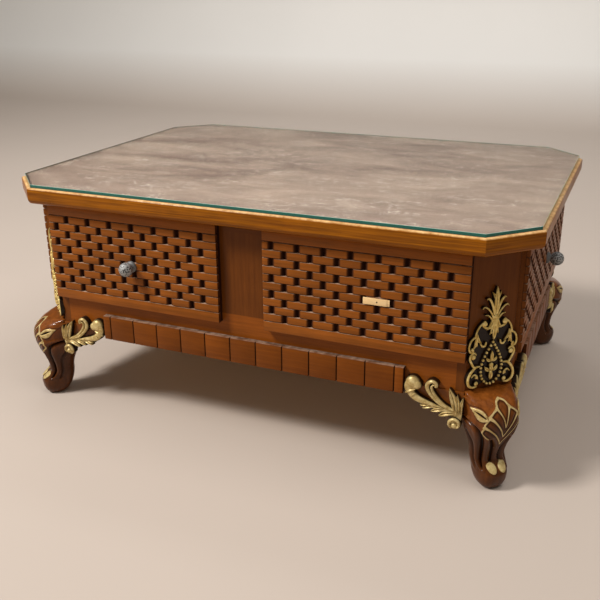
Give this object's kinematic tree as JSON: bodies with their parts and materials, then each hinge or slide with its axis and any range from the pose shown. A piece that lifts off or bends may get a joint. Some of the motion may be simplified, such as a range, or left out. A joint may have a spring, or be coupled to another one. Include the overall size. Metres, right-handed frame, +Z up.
{
  "type": "coffee table with drawers",
  "caption": "Octagonal glass-topped coffee table with brick-weave fronts, drawers in its long side and end, gilded corner ornament and carved cabriole legs.",
  "frame": {"origin": "on the floor, under the middle of the top", "axes": "+X along the length towards the end with a drawer, -Y towards the front with a drawer, +Z up"},
  "size_m": [1.0078, 0.7328, 0.45],
  "materials": {
    "stained_wood": "red-brown stain under gloss varnish",
    "golden_wood": "golden comb-grained varnish",
    "gilded_carving": "antique gold paint on carved wood, brown in the recesses",
    "veined_board": "mauve-brown veined face under the glass",
    "float_glass": "clear, polished edge",
    "pewter": "pitted dull pewter",
    "bare_softwood": "planed, unfinished",
    "plated_steel": "zinc plated"
  },
  "bodies": {
    "carcase": {"apron_strip_back": "stained_wood", "apron_strip_front": "stained_wood", "apron_strip_left": "stained_wood", "apron_strip_right": "stained_wood", "bare_brick": "bare_softwood", "bottom_board": "bare_softwood", "centre_partition": "bare_softwood", "centre_stiles": "stained_wood", "corner_applique_back_left": "gilded_carving", "corner_applique_back_right": "gilded_carving", "corner_applique_front_left": "gilded_carving", "corner_applique_front_right": "gilded_carving", "corner_post_back_left": "stained_wood", "corner_post_back_right": "stained_wood", "corner_post_front_left": "stained_wood", "corner_post_front_right": "stained_wood", "drawer_kickers": "bare_softwood", "drawer_runners": "bare_softwood", "edge_moulding_back": "golden_wood", "edge_moulding_corners": "golden_wood", "edge_moulding_front": "golden_wood", "edge_moulding_left": "golden_wood", "edge_moulding_right": "golden_wood", "glass_top": "float_glass", "knee_wings_back_left": "gilded_carving", "knee_wings_back_right": "gilded_carving", "knee_wings_front_left": "gilded_carving", "knee_wings_front_right": "gilded_carving", "leg_back_left": "stained_wood", "leg_back_right": "stained_wood", "leg_blocks": "bare_softwood", "leg_bolts": "plated_steel", "leg_front_left": "stained_wood", "leg_front_right": "stained_wood", "lower_rail_back": "stained_wood", "lower_rail_front": "stained_wood", "lower_rail_left": "stained_wood", "lower_rail_right": "stained_wood", "top_panel": "veined_board", "upper_rails": "stained_wood", "weave_panel_back_left": "stained_wood", "weave_panel_back_right": "stained_wood", "weave_panel_front_right": "stained_wood", "weave_panel_left": "stained_wood"},
    "front_drawer": {"front_drawer_back": "bare_softwood", "front_drawer_bottom": "bare_softwood", "front_drawer_front": "stained_wood", "front_drawer_knob": "pewter", "front_drawer_knob_base": "pewter", "front_drawer_knob_screw": "plated_steel", "front_drawer_left_side": "bare_softwood", "front_drawer_right_side": "bare_softwood"},
    "end_drawer": {"end_drawer_back": "bare_softwood", "end_drawer_bottom": "bare_softwood", "end_drawer_front": "stained_wood", "end_drawer_knob": "pewter", "end_drawer_knob_base": "pewter", "end_drawer_knob_screw": "plated_steel", "end_drawer_left_side": "bare_softwood", "end_drawer_right_side": "bare_softwood"}
  },
  "joints": [
    {"name": "front_drawer_slide", "type": "slide", "parent": "carcase", "child": "front_drawer", "axis": [0, -1, 0], "range_m": [0, 0.4]},
    {"name": "end_drawer_slide", "type": "slide", "parent": "carcase", "child": "end_drawer", "axis": [1, 0, 0], "range_m": [0, 0.3]}
  ]
}
